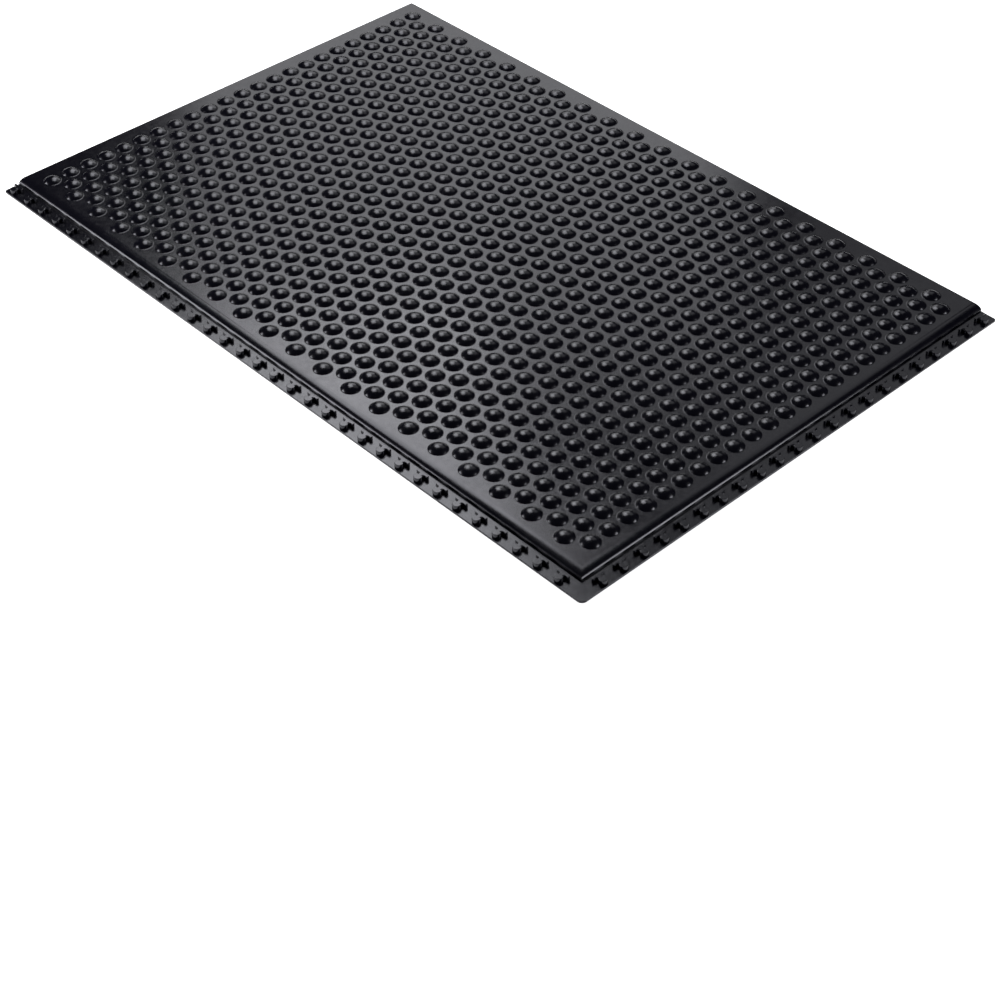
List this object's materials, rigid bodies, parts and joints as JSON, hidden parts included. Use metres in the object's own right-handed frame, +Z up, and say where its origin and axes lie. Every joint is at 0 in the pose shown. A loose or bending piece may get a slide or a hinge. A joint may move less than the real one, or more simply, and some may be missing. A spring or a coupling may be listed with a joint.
{
  "type": "conductive cushion mat",
  "caption": "Black conductive rubber cushion mat with a lattice of shallow domes and a thin studded lip on two adjacent sides that links to the next mat.",
  "frame": {"origin": "centre of the bounding box at its lowest level, on the floor under the mat", "axes": "+X along the length, towards the studded lip of the short side; +Y across the width, away from the studded lip of the long side; +Z up, out of the domed face"},
  "size_m": [0.92, 0.62, 0.0125],
  "materials": {
    "rubber": "satin"
  },
  "bodies": {
    "root": {"mat": "rubber"}
  },
  "joints": []
}
